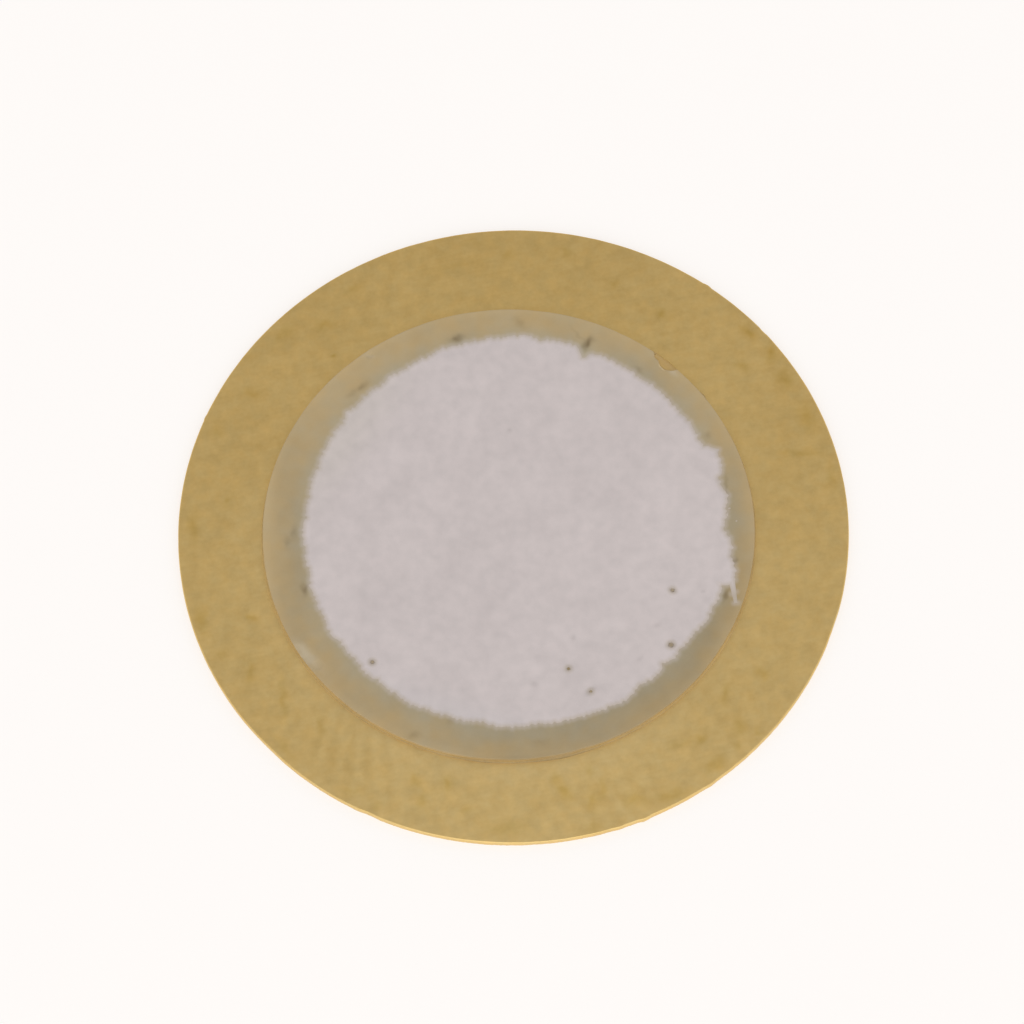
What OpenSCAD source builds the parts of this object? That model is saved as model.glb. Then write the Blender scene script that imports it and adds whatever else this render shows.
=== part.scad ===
// Piezo disc: a blanked brass plate with a silvered ceramic disc bonded to its middle.
// The layers are stacked along +Z from the plate's underside, which is at Z = 0 and centred on the origin.
// All sizes are in millimetres, and all angles are in degrees counter-clockwise from +X.

/* [Brass plate] */
// Diameter of the plate over its burnished band
plate_d = 27; // [24:0.5:50]
// Thickness of the plate
plate_t = 0.3; // [0.2:0.05:0.6]
// Radius rolled onto the upper edge as the plate was blanked
roll_r = 0.06; // [0.02:0.01:0.07]
// Height of the burnished band below the rolled edge
band_h = 0.12; // [0.05:0.01:0.12]
// How far the torn lower edge stands in from the band
tear_in = 0.02; // [0.005:0.005:0.05]
// How far the largest burr stands out of the rim
burr_out = 0.04; // [0.01:0.005:0.08]
// Depth of the deepest nick in the rim
nick_in = 0.03; // [0.01:0.005:0.08]

/* [Ceramic disc] */
// Diameter of the ceramic
ceramic_d = 19.8; // [14:0.05:22]
// Thickness of the ceramic without its electrodes
ceramic_t = 0.2; // [0.12:0.01:0.4]
// Radius on the ceramic's upper and lower edges
ceramic_edge_r = 0.02; // [0.01:0.005:0.05]
// How far the ceramic was bonded off the plate's centre, along X
ceramic_dx = -0.19; // [-0.5:0.01:0.5]
// How far the ceramic was bonded off the plate's centre, along Y
ceramic_dy = -0.11; // [-0.5:0.01:0.5]
// How far the largest chip bites into the ceramic's edge
bite_in = 0.34; // [0.1:0.02:0.5]
// Depth of the shallow flakes broken off the ceramic's upper edge
flake_t = 0.05; // [0.02:0.01:0.08]

/* [Silver electrodes] */
// Thickness of each electrode
electrode_t = 0.012; // [0.005:0.001:0.03]
// Width of bare ceramic outside the upper electrode
bare_margin = 1.35; // [1:0.05:3]
// Width of bare ceramic outside the lower electrode
lower_margin = 0.2; // [0.1:0.05:1]
// How far the upper electrode is printed off the ceramic's centre, along X
print_dx = 0.25; // [-0.3:0.01:0.3]
// How far the upper electrode is printed off the ceramic's centre, along Y
print_dy = -0.05; // [-0.3:0.01:0.3]
// Height of the broad lumps in the upper electrode's edge
lump_h = 0.04; // [0:0.01:0.1]
// Height of the fine teeth that the screen leaves in that edge
tooth_h = 0.03; // [0:0.01:0.06]

/* [Bond] */
// Thickness of the epoxy film between the plate and the lower electrode
bond_t = 0.015; // [0.005:0.005:0.05]
// Width of the epoxy squeezed out round the ceramic where it is widest
squeeze_w = 0.12; // [0.06:0.01:0.2]
// How far the squeezed-out ring sits off the ceramic's centre
squeeze_off = 0.03; // [0:0.005:0.05]
// Direction in which the squeezed-out ring is widest
squeeze_dir = 290; // [0:5:360]
// Height of the epoxy that fills the largest chip
bite_fill_h = 0.15; // [0.02:0.01:0.3]

/* [Hidden] */
$fn = 96;

plate_r = plate_d / 2;
ceramic_r = ceramic_d / 2;
print_r = ceramic_r - bare_margin;
lower_r = ceramic_r - lower_margin;

// Levels of the layers, from the plate upwards
bond_z = plate_t;
lower_z = bond_z + bond_t;
ceramic_z = lower_z + electrode_t;
upper_z = ceramic_z + ceramic_t;

// Overlap that makes a cut run past the face it opens
past = 0.1;
// How far the top of the epoxy's slope starts inside the ceramic's edge where it is widest
squeeze_sink = 0.02;
// Radius of the hollow slope on the squeezed-out epoxy
hollow_r = 2 * squeeze_w;

// Burrs that stand out of the rim: [angle, length along the rim, share of burr_out]
rim_burrs = [[52.5, 0.42, 0.8], [156.3, 0.3, 0.6], [286.5, 0.5, 0.5], [291.2, 0.55, 1], [303.8, 0.6, 0.6]];
// Nicks and flats in the rim: [angle, length along the rim, share of nick_in]
rim_nicks = [[39.5, 0.45, 0.6], [221, 2.4, 0.6], [243.5, 0.9, 1], [340, 1.8, 0.6]];

// The largest chip is a scoop with a smaller flake beside it: [angle, scoop radius, share of bite_in]
bite_scoops = [[47.6, 0.55, 1], [50.1, 0.32, 0.6]];
// Shallow flakes off the upper edge: [angle, width, how far its middle is inside the edge]
edge_flakes = [
    [47.7, 0.6, 0.17], [124.3, 0.3, 0.22], [209.9, 0.5, 0.05], [212.3, 0.85, 0.14], [215.6, 0.5, 0.29]
];

// Runs and notches of the printed edge: [angle, span before it, span after it, height, sharpness].
// A sharpness of 1 gives straight flanks, under 1 a full shape and over 1 a pointed one.
print_runs = [
    [341, 11.6, 16, 0.17, 0.35],
    [344.6, 2, 6.5, 0.33, 0.5],
    [352.5, 10, 6, 0.14, 0.5],
    [359.6, 3, 4.5, -0.17, 1],
    [8.4, 4.5, 4, 0.16, 1],
    [19.5, 4.7, 5.2, 0.36, 0.45],
    [22.2, 2.6, 1.6, 0.22, 1],
    [26.5, 3, 6, -0.08, 1],
    [39.7, 2.5, 2.5, -0.08, 1],
    [69, 2.3, 2.6, -0.42, 1.1],
    [76, 6, 4, 0.05, 0.6],
    [85, 3, 7, 0.12, 0.5],
    [90, 30, 30, 0.12, 0.8],
    [96, 2.5, 3.5, 0.08, 0.7],
    [108, 4, 8, 0.09, 0.7],
    [124.5, 3.5, 3, 0.07, 0.7],
    [140.5, 2.5, 3, 0.12, 0.7],
    [168, 14, 14, -0.09, 1],
    [184, 3, 4, -0.06, 1],
    [191.2, 3.5, 2.5, -0.12, 0.9],
    [210, 5, 2, 0.08, 0.7],
    [224.5, 2.5, 3, 0.05, 0.8],
    [240, 9, 9, 0.06, 0.6],
    [258, 5, 6, -0.05, 0.8],
    [264, 1.5, 4, 0.08, 0.7],
    [270, 95, 95, -0.13, 0.8],
    [280.5, 3, 2, 0.07, 0.8],
    [288.5, 1.5, 6, 0.08, 0.5],
    [298, 5, 4, 0.1, 0.7],
    [306, 4, 3.5, -0.09, 0.8],
    [314.3, 2.4, 3.4, -0.24, 0.9],
    [322, 5, 7, -0.07, 0.8]
];
// Sine waves of the broad lumps: [waves round the edge, phase, share of lump_h]
lump_waves = [[11, 40, 0.3], [24, 115, 0.5], [47, 10, 0.6], [71, 200, 0.3]];
// Sine waves of the fine teeth: [waves round the edge, phase, share of tooth_h]
tooth_waves = [[113, 70, 0.5], [167, 30, 0.6], [239, 150, 0.5], [331, 0, 0.3]];
// Points round the printed edge
print_steps = 1440;

// Pinholes in the print: [angle, how far inside the printed edge, radius]
pinholes = [
    [223.2, 0.54, 0.07], [336.3, 1.73, 0.07], [320, 0.59, 0.1], [288.2, 2.21, 0.06], [292, 0.97, 0.05]
];
// Whisker of silver beside the lobe: [angle, how far outside the printed edge] at its root and its tip
whisker_root = [344.6, 0.4];
whisker_tip = [338.9, 0.84];
// Width of the whisker at its root
whisker_w = 0.26;

brass = "#b99a5c";
silver = "#c8bebb";
ceramic_colour = "#a89a78";
epoxy = "#b08f4a";

// Signed difference between two angles, from -180 to 180
function turn(a, b) = (a - b + 540) % 360 - 180;

// Height of one run of the printed edge at an angle
function run(a, row) =
    let (d = turn(a, row[0]), span = d < 0 ? row[1] : row[2])
    row[3] * pow(max(0, 1 - abs(d) / span), row[4]);

// Sum of sine waves at an angle, each with its share
function waves(a, rows) = [for (row = rows) row[2] * sin(row[0] * a + row[1])] * [for (row = rows) 1];

// Radius of the printed edge at an angle
function print_edge(a) =
    print_r + lump_h * waves(a, lump_waves) + tooth_h * waves(a, tooth_waves)
    + [for (row = print_runs) run(a, row)] * [for (row = print_runs) 1];

// Point at a radius and an angle
function polar(r, a) = [r * cos(a), r * sin(a)];

// Places its children on the ceramic's centre, at a level
module on_ceramic(z) {
    translate([ceramic_dx, ceramic_dy, z]) children();
}

// Section of the blanked plate: rolled edge on top, burnished band, torn edge below
module plate_section() {
    band_top = plate_t - roll_r;
    polygon([
        [0, 0], [plate_r - tear_in, 0], [plate_r, band_top - band_h],
        [plate_r, band_top], [plate_r - roll_r, plate_t], [0, plate_t]
    ]);
    translate([plate_r - roll_r, band_top]) circle(roll_r);
}

// Upright cylinder whose side cuts the rim along a given length, standing out of it by a given height
module rim_bulge(a, along, out) {
    r = along * along / (8 * out);
    rotate(a) translate([plate_r + out - r, 0, 0]) cylinder(h = plate_t - roll_r, r = r);
}

// Upright cylinder beside the rim that cuts a nick of a given length and depth into it
module rim_cut(a, along, depth) {
    r = along * along / (8 * depth);
    rotate(a) translate([plate_r - depth + r, 0, -past]) cylinder(h = plate_t + 2 * past, r = r);
}

module brass_plate() {
    color(brass) difference() {
        union() {
            rotate_extrude() plate_section();
            for (b = rim_burrs) rim_bulge(b[0], b[1], b[2] * burr_out);
        }
        for (n = rim_nicks) rim_cut(n[0], n[1], n[2] * nick_in);
    }
}

// Scoops that break through the ceramic's edge, with Z = 0 at the ceramic's upper face
module bite_shape() {
    for (s = bite_scoops)
        rotate(s[0]) translate([ceramic_r + s[1] * 0.97 - s[2] * bite_in, 0, s[1] * 0.2]) sphere(s[1]);
}

// Shallow flakes off the ceramic's upper edge, with Z = 0 at the ceramic's upper face
module flake_shapes() {
    for (f = edge_flakes) {
        r = f[1] * f[1] / (8 * flake_t);
        rotate(f[0]) translate([ceramic_r - f[2], 0, r - flake_t]) sphere(r);
    }
}

// Section of the ceramic with its rounded edges
module ceramic_section() {
    inner = ceramic_r - ceramic_edge_r;
    square([inner, ceramic_t]);
    translate([0, ceramic_edge_r]) square([ceramic_r, ceramic_t - 2 * ceramic_edge_r]);
    for (z = [ceramic_edge_r, ceramic_t - ceramic_edge_r]) translate([inner, z]) circle(ceramic_edge_r);
}

module ceramic_disc() {
    color(ceramic_colour) on_ceramic(ceramic_z) difference() {
        rotate_extrude() ceramic_section();
        translate([0, 0, ceramic_t]) {
            bite_shape();
            flake_shapes();
        }
    }
}

module lower_electrode() {
    color(silver) on_ceramic(lower_z) cylinder(h = electrode_t, r = lower_r);
}

// Section of the squeezed-out epoxy: full under the ceramic, then a hollow slope down to the plate
module squeeze_section() {
    start = ceramic_r - squeeze_off - squeeze_sink;
    hollow_off = sqrt(pow(hollow_r, 2) - pow(squeeze_w, 2) / 2) / sqrt(2);
    difference() {
        polygon([[0, 0], [start + squeeze_w, 0], [start, squeeze_w], [0, squeeze_w]]);
        translate([start + squeeze_w / 2 + hollow_off, squeeze_w / 2 + hollow_off]) circle(hollow_r);
    }
}

module glue_layer() {
    color(epoxy) {
        difference() {
            on_ceramic(bond_z) translate(polar(squeeze_off, squeeze_dir)) rotate_extrude() squeeze_section();
            on_ceramic(lower_z) cylinder(h = electrode_t, r = lower_r);
            on_ceramic(ceramic_z) cylinder(h = squeeze_w, r = ceramic_r);
        }
        on_ceramic(ceramic_z) intersection() {
            translate([0, 0, ceramic_t]) bite_shape();
            cylinder(h = bite_fill_h, r = ceramic_r);
        }
    }
}

// Outline of the print on its own centre
module print_outline() {
    polygon([for (i = [0 : print_steps - 1]) let (a = i * 360 / print_steps) polar(print_edge(a), a)]);
}

// Tapered whisker of silver that leaves the lobe
module whisker() {
    root = polar(print_r + whisker_root[1], whisker_root[0]);
    tip = polar(print_r + whisker_tip[1], whisker_tip[0]);
    side = (tip - root) * whisker_w / (2 * norm(tip - root));
    across = [-side[1], side[0]];
    polygon([root + across, root - across, tip - across / 2, tip + across / 2]);
}

module upper_electrode() {
    color(silver) on_ceramic(upper_z) translate([print_dx, print_dy, 0]) linear_extrude(electrode_t) {
        difference() {
            print_outline();
            for (p = pinholes) translate(polar(print_r - p[1], p[0])) circle(p[2]);
        }
        whisker();
    }
}

brass_plate();
glue_layer();
lower_electrode();
ceramic_disc();
upper_electrode();
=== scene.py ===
import math

import bpy
import numpy as np
from bpy.props import FloatProperty, FloatVectorProperty, PointerProperty
from mathutils import Matrix, Vector, kdtree, noise
from mathutils.geometry import delaunay_2d_cdt


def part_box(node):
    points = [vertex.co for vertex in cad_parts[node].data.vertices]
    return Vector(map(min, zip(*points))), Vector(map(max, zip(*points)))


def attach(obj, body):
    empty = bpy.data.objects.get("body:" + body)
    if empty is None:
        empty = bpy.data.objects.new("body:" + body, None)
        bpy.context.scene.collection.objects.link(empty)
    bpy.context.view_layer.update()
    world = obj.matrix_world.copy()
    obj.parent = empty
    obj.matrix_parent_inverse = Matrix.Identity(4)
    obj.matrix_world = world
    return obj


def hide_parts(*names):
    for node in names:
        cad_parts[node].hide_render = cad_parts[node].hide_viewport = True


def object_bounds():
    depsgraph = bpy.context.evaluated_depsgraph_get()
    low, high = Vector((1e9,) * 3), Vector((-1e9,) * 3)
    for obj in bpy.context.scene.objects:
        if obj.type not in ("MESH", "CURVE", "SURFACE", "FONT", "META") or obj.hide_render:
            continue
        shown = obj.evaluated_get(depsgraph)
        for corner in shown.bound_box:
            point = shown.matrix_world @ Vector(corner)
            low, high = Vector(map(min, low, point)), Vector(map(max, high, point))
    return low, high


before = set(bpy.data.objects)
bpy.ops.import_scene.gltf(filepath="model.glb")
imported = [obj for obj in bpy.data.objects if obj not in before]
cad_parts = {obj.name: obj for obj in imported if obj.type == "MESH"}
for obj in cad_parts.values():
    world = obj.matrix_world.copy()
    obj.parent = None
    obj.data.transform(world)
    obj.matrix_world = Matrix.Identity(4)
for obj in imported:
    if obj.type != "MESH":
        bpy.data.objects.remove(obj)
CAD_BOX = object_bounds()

bl_info = {
    "name": "Piezo Disc",
    "version": (1, 0, 0),
    "blender": (4, 5, 0),
    "location": "3D View > Sidebar > Piezo Disc",
    "description": "Finishes a piezo disc: stamped brass plate, bonded ceramic, printed silver and squeezed-out epoxy",
    "category": "Object",
}

# Meshes are worked out in millimetres and degrees, angles running counter-clockwise from +X, and stored in metres.
MM = 0.001
# Points round the finest rings
FINE = 1440


def box_mm(node):
    """Lowest and highest corner of a CAD node in millimetres."""
    low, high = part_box(node)
    return np.array(low) / MM, np.array(high) / MM


CERAMIC_LOW, CERAMIC_HIGH = box_mm("ceramic_disc")
FILM_LOW, FILM_HIGH = box_mm("lower_electrode")

# Radius of the plate without its burrs, which widen its box
PLATE_R = 13.5
# How far the print is off the ceramic's centre, and the width of bare ceramic round it
PRINT_OFF = (0.25, -0.05)
BARE_MARGIN = 1.35
# Height to which the epoxy fills the chip, from the ceramic's underside
FILL_H = 0.15

PLATE_T = float(box_mm("brass_plate")[1][2])
CERAMIC_R = float(CERAMIC_HIGH[0] - CERAMIC_LOW[0]) / 2
CERAMIC_AT = (CERAMIC_LOW + CERAMIC_HIGH)[:2] / 2
CERAMIC_Z = float(CERAMIC_LOW[2])
CERAMIC_TOP = float(CERAMIC_HIGH[2])
FILM_Z = float(FILM_LOW[2])
FILM_R = float(FILM_HIGH[0] - FILM_LOW[0]) / 2
PRINT_TOP = float(box_mm("upper_electrode")[1][2])
PRINT_AT = CERAMIC_AT + np.array(PRINT_OFF)
PRINT_R = CERAMIC_R - BARE_MARGIN

# Burrs and nicks of the rim: angle, length along the rim, how far it stands out
RIM_BUMPS = [
    (52.5, 0.42, 0.032), (156.3, 0.3, 0.024), (286.5, 0.5, 0.02), (291.2, 0.55, 0.04), (303.8, 0.6, 0.024),
    (39.5, 0.45, -0.018), (221, 2.4, -0.018), (243.5, 0.9, -0.03), (340, 1.8, -0.018),
]
# Scoops of the filled chip: angle, scoop radius, how far it bites in
BITES = [(47.6, 0.55, 0.34), (50.1, 0.32, 0.204)]
# Shallow flakes off the ceramic's upper edge: angle, width, how far inside the edge
FLAKES = [(47.7, 0.6, 0.17), (124.3, 0.3, 0.22), (209.9, 0.5, 0.05), (212.3, 0.85, 0.14), (215.6, 0.5, 0.29)]
FLAKE_DEPTH = 0.05
# Places where more epoxy was squeezed out: angle, length along the edge, how much more
EPOXY_BULGES = [(36, 0.35, 0.9), (47.8, 1.2, 0.9), (52.6, 0.9, 0.7), (262, 2.5, 0.25), (281, 2.0, 0.3), (318, 1.6, 0.3)]
FILL_TOP = CERAMIC_Z + FILL_H
# How far silver and ceramic run into each other from the print's edge
BLEED = 0.18
# Edges with a sharper fold than this are shaded as creases
SHARP = math.radians(35)


# ---------------------------------------------------------------- sizes and colours


class PlateSettings(bpy.types.PropertyGroup):
    """Brass plate"""

    roll: FloatProperty(name="Rolled edge", description="Radius of the edge that the blanking die rolled, in mm",
                        default=0.06, min=0.02, max=0.07)
    band: FloatProperty(name="Burnished band", description="Height of the smooth band below the rolled edge, in mm",
                        default=0.12, min=0.05, max=0.14)
    tear: FloatProperty(name="Torn edge", description="How far the torn lower edge stands in, in mm",
                        default=0.02, min=0.005, max=0.05)
    colour: FloatVectorProperty(name="Brass", description="Colour of the clean rolled brass", subtype="COLOR",
                                default=(0.76, 0.545, 0.215), min=0, max=1)
    stain: FloatVectorProperty(name="Tarnish", description="Colour of the brown handling stains", subtype="COLOR",
                               default=(0.56, 0.375, 0.09), min=0, max=1)
    handling: FloatProperty(name="Handling", description="Strength of the finger marks and stains", subtype="FACTOR",
                            default=1.4, min=0, max=2)


class CeramicSettings(bpy.types.PropertyGroup):
    """Ceramic disc"""

    edge: FloatProperty(name="Edge radius", description="Radius worn onto the ceramic's edges, in mm",
                        default=0.02, min=0.005, max=0.04)
    colour: FloatVectorProperty(name="Ceramic", description="Colour of the bare fired ceramic", subtype="COLOR",
                                default=(0.498, 0.380, 0.203), min=0, max=1)
    cool: FloatVectorProperty(name="Beside the print", description="Colour of the greyer ceramic beside the print",
                              subtype="COLOR", default=(0.445, 0.375, 0.244), min=0, max=1)
    fresh: FloatVectorProperty(name="Fresh break", description="Colour of the ceramic where it flaked",
                               subtype="COLOR", default=(0.57, 0.49, 0.35), min=0, max=1)
    stain: FloatVectorProperty(name="Stain", description="Colour of the dark specks beside the print",
                               subtype="COLOR", default=(0.14, 0.095, 0.035), min=0, max=1)


class EpoxySettings(bpy.types.PropertyGroup):
    """Squeezed-out epoxy"""

    width: FloatProperty(name="Line width", description="Width of the line squeezed out round the ceramic, in mm",
                         default=0.07, min=0.03, max=0.12)
    height: FloatProperty(name="Line height", description="Height to which the line climbs the ceramic, in mm",
                          default=0.1, min=0.04, max=0.16)
    colour: FloatVectorProperty(name="Epoxy", description="Colour of the cured epoxy", subtype="COLOR",
                                default=(0.50, 0.345, 0.13), min=0, max=1)


class PrintSettings(bpy.types.PropertyGroup):
    """Silver electrodes"""

    feather: FloatProperty(name="Edge slope", description="Width over which the print's edge thins out, in mm",
                           default=0.12, min=0.02, max=0.3)
    lip: FloatProperty(name="Edge height", description="Share of the print's thickness at its very edge",
                       subtype="FACTOR", default=0.35, min=0.1, max=0.8)
    grid: FloatProperty(name="Mesh spacing", description="Spacing of the points over the print, in mm",
                        default=0.12, min=0.08, max=0.5)
    colour: FloatVectorProperty(name="Silver", description="Colour of the fired silver", subtype="COLOR",
                                default=(0.715, 0.652, 0.651), min=0, max=1)


class StageSettings(bpy.types.PropertyGroup):
    """Camera, light and floor"""

    elevation: FloatProperty(name="Camera elevation", description="Angle of the camera above the floor",
                             subtype="ANGLE", default=math.radians(65.93))
    roll: FloatProperty(name="Camera roll", description="Turn of the camera about its own axis",
                        subtype="ANGLE", default=math.radians(1.676))
    distance: FloatProperty(name="Camera distance", description="Distance from the camera to the disc",
                            subtype="DISTANCE", default=0.3)
    lens: FloatProperty(name="Focal length", description="Focal length of the lens, in mm", default=261.6)
    walls: FloatProperty(name="Wall light", description="Strength of the light from the room's walls", default=0.85)
    ceiling: FloatProperty(name="Ceiling light", description="Strength of the light from overhead", default=0.5)
    key: FloatProperty(name="Key light", description="Power of the soft light in front, in watts", default=1.45)
    floor: FloatVectorProperty(name="Floor", description="Colour of the floor", subtype="COLOR",
                               default=(0.35, 0.339, 0.333), min=0, max=1)
    glow: FloatProperty(name="Floor glow", description="Strength of the light that comes through the floor",
                        default=0.69)


# ---------------------------------------------------------------- meshes


def polar(radius, degrees):
    a = np.radians(degrees)
    return np.stack([radius * np.cos(a), radius * np.sin(a)], -1)


def turn(a, b):
    """Signed difference between two angles, from -180 to 180."""
    return (a - b + 540) % 360 - 180


def lumps(points, size, depth, seed, octaves=3):
    """Fractal noise at each point: lumps of a given size, between about -depth and depth."""
    shift = Vector((17.3 * seed, -9.1 * seed, 5.7 * seed))
    values = [noise.fractal(Vector(p) / size + shift, 1.0, 2.0, octaves) for p in points]
    return depth * np.array(values)


def lift(flat, z=0.0):
    """Flat points at a level, which is a number or one value for each point."""
    return np.column_stack([flat, np.broadcast_to(z, len(flat))])


def ring(count, radius, z):
    """Points round a ring; its radius and level are numbers or one value for each point."""
    return lift(polar(np.broadcast_to(radius, count), np.arange(count) * 360 / count), z)


def face_rings(z, few, more, most):
    """Rings over a flat face at a level, from three lists of radii: the points double from one list to the next."""
    return [ring(FINE // part, r, z) for part, radii in ((8, few), (4, more), (2, most)) for r in radii]


def between(first, last):
    """Faces between two rings of point numbers, of which one may have half as many points as the other."""
    n, m = len(first), len(last)
    if n == m:
        a, b = np.roll(first, -1), np.roll(last, -1)
        return np.column_stack([first, last, b, a]).tolist()
    if n < m:
        a, mid, end = np.roll(first, -1), last[1::2], np.roll(last[::2], -1)
        faces = [(first, last[::2], mid), (first, mid, a), (a, mid, end)]
    else:
        b, mid, end = np.roll(last, -1), first[1::2], np.roll(first[::2], -1)
        faces = [(first[::2], last, mid), (mid, last, b), (mid, b, end)]
    return [row for f in faces for row in np.column_stack(f).tolist()]


def closed_skin(rings, top, bottom):
    """Points and faces of a closed skin from a top centre, out over the rings in turn, to a bottom centre."""
    points = np.vstack([[top], *rings, [bottom]])
    starts = np.cumsum([1] + [len(r) for r in rings])
    numbers = [np.arange(s, s + len(r)) for s, r in zip(starts, rings)]
    faces = [f for a, b in zip(numbers, numbers[1:]) for f in between(a, b)]
    first, last, end = numbers[0], numbers[-1], len(points) - 1
    faces += np.column_stack([np.zeros(len(first), int), first, np.roll(first, -1)]).tolist()
    faces += np.column_stack([last, np.full(len(last), end), np.roll(last, -1)]).tolist()
    return points, faces


def add_piece(name, points, faces, material, replaced, run=None):
    """Makes a piece from points in millimetres, held inside the CAD box, which rides on the root body.
    Where silver and ceramic meet, each point also keeps how far the two run into each other."""
    low, high = (np.array(c) / MM for c in CAD_BOX)
    mesh = bpy.data.meshes.new(name)
    mesh.from_pydata((np.clip(points, low, high) * MM).tolist(), [], faces)
    if mesh.validate():
        raise RuntimeError(f"{name} has faulty faces")
    mesh.shade_smooth()
    mesh.set_sharp_from_angle(angle=SHARP)
    mesh.materials.append(material)
    if run is not None:
        mesh.attributes.new("bleed", "FLOAT", "POINT").data.foreach_set("value", np.array(run, "f"))
    piece = bpy.data.objects.new(name, mesh)
    bpy.context.scene.collection.objects.link(piece)
    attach(piece, "root")
    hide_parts(replaced)
    return piece


def rim_radius(angles):
    """Radius of the plate's rim, with its burrs and nicks."""
    radius = np.full(len(angles), PLATE_R)
    for at, along, out in RIM_BUMPS:
        place = np.radians(turn(angles, at)) * PLATE_R
        radius += out * np.clip(1 - (2 * place / along) ** 2, 0, None)
    return radius


def plate_rings(s):
    """Rings over the plate: upper face, rolled edge, burnished band, torn edge, underside."""
    angles = np.arange(FINE) * 360 / FINE
    rim = rim_radius(angles)
    around = lift(polar(PLATE_R, angles))
    rim = rim + lumps(around, 0.5, 0.004, 1)
    roll = s.roll * (1 + lumps(around, 3.0, 0.25, 2))
    band_top = PLATE_T - roll
    torn_top = PLATE_T - s.roll - s.band + lumps(around, 0.8, 0.035, 3, 4)
    rings = face_rings(PLATE_T, (1.6, 3.2), (5.0, 6.8), (8.2, 9.6))
    for share in np.linspace(0, 1, 13):
        radius = 10.2 + share * (rim - roll - 10.2)
        flat = ring(FINE, radius, 0)
        wave = lumps(flat, 2.5, 0.003, 4, 2) - 0.002
        rings.append(ring(FINE, radius, PLATE_T + np.minimum(wave, 0) * min(1, 4 * share)))
    for lean in np.radians((18, 36, 54, 72, 90)):
        rings.append(ring(FINE, rim - roll * (1 - math.sin(lean)), band_top + roll * math.cos(lean)))
    for share in (0.33, 0.66, 1.0):
        level = band_top + share * (torn_top - band_top)
        score = lumps(lift(polar(PLATE_R, angles), level * 0.05), 0.06, 0.0015, 5, 2)
        rings.append(ring(FINE, rim + score, level))
    for share in (0.2, 0.4, 0.6, 0.8, 1.0):
        level = torn_top * (1 - share) + 0.012 * share
        tear = s.tear * share + lumps(lift(polar(PLATE_R, angles), level), 0.09, 0.009, 6, 3)
        rings.append(ring(FINE, rim - np.maximum(tear, 0), level))
    rings += [ring(FINE, rim - s.tear - 0.01, 0.003), ring(FINE, rim - s.tear - 0.03, 0)]
    rings += face_rings(0, (2.0, 4.5), (6.5, 9.0), (11.5, 13.2))[::-1]
    return rings


def bite_radius(angles, level, radius):
    """Radius at which the chip's scoops leave the ceramic, at a level, for each angle."""
    for at, scoop, depth in BITES:
        away, height = CERAMIC_R + 0.97 * scoop - depth, CERAMIC_TOP + 0.2 * scoop
        place = np.radians(turn(angles, at))
        left = scoop ** 2 - (level - height) ** 2 - (away * np.sin(place)) ** 2
        cut = away * np.cos(place) - np.sqrt(np.clip(left, 0, None))
        radius = np.where((left > 0) & (np.abs(place) < 1), np.minimum(radius, cut), radius)
    return radius


def ceramic_side(angles, level):
    """Radius of the ceramic's broken or moulded side at a level."""
    around = lift(polar(CERAMIC_R, angles), level)
    whole = CERAMIC_R + np.minimum(lumps(around, 0.7, 0.012, 11), 0)
    bitten = bite_radius(angles, level, whole)
    rough = lumps(around, 0.12, 0.02, 12, 2)
    return np.where(bitten < whole, np.minimum(bitten + rough, whole), whole)


def flake_depth(flat):
    """How deep the shallow flakes are at points on the ceramic's upper face, on its own centre."""
    depth = np.zeros(len(flat))
    ripple = lumps(lift(flat), 0.16, 0.012, 13, 3)
    for at, width, inside in FLAKES:
        ball = width ** 2 / (8 * FLAKE_DEPTH)
        away = np.linalg.norm(flat - polar(CERAMIC_R - inside, at), axis=1)
        cap = np.sqrt(np.clip(ball ** 2 - away ** 2, 0, None)) - (ball - FLAKE_DEPTH) + ripple
        depth = np.maximum(depth, np.where(away < 0.6 * width, cap, 0))
    return depth


def ceramic_rings(s):
    """Rings over the ceramic: upper face with its flakes, edge with its chip, side, underside."""
    angles = np.arange(FINE) * 360 / FINE
    side_top = CERAMIC_TOP - s.edge
    edge = ceramic_side(angles, side_top)
    rings = face_rings(CERAMIC_TOP, (1.6, 3.2), (4.8, 6.2), (7.0, 7.6))
    for share in np.linspace(0, 1, 32):
        radius = 7.95 + share * (edge - s.edge - 7.95)
        flat = polar(radius, angles)
        sink = flake_depth(flat)
        rings.append(ring(FINE, radius, CERAMIC_TOP - sink))
    for lean in np.radians((30, 60, 90)):
        level = CERAMIC_TOP - sink - s.edge * (1 - math.cos(lean))
        rings.append(ring(FINE, edge - s.edge * (1 - math.sin(lean)), level))
    top = CERAMIC_TOP - sink - s.edge
    for share in (0.2, 0.4, 0.6, 0.8, 1.0):
        level = top + share * (CERAMIC_Z + s.edge - top)
        rings.append(ring(FINE, ceramic_side(angles, level), level))
    foot = ceramic_side(angles, CERAMIC_Z + s.edge)
    rings.append(ring(FINE, foot - 0.3 * s.edge, CERAMIC_Z + 0.3 * s.edge))
    rings.append(ring(FINE, foot - s.edge, CERAMIC_Z))
    rings += face_rings(CERAMIC_Z, (1.6, 3.2), (4.6, 6.0), (7.6, 9.2))[::-1]
    return [r + np.array([*CERAMIC_AT, 0]) for r in rings]


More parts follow.
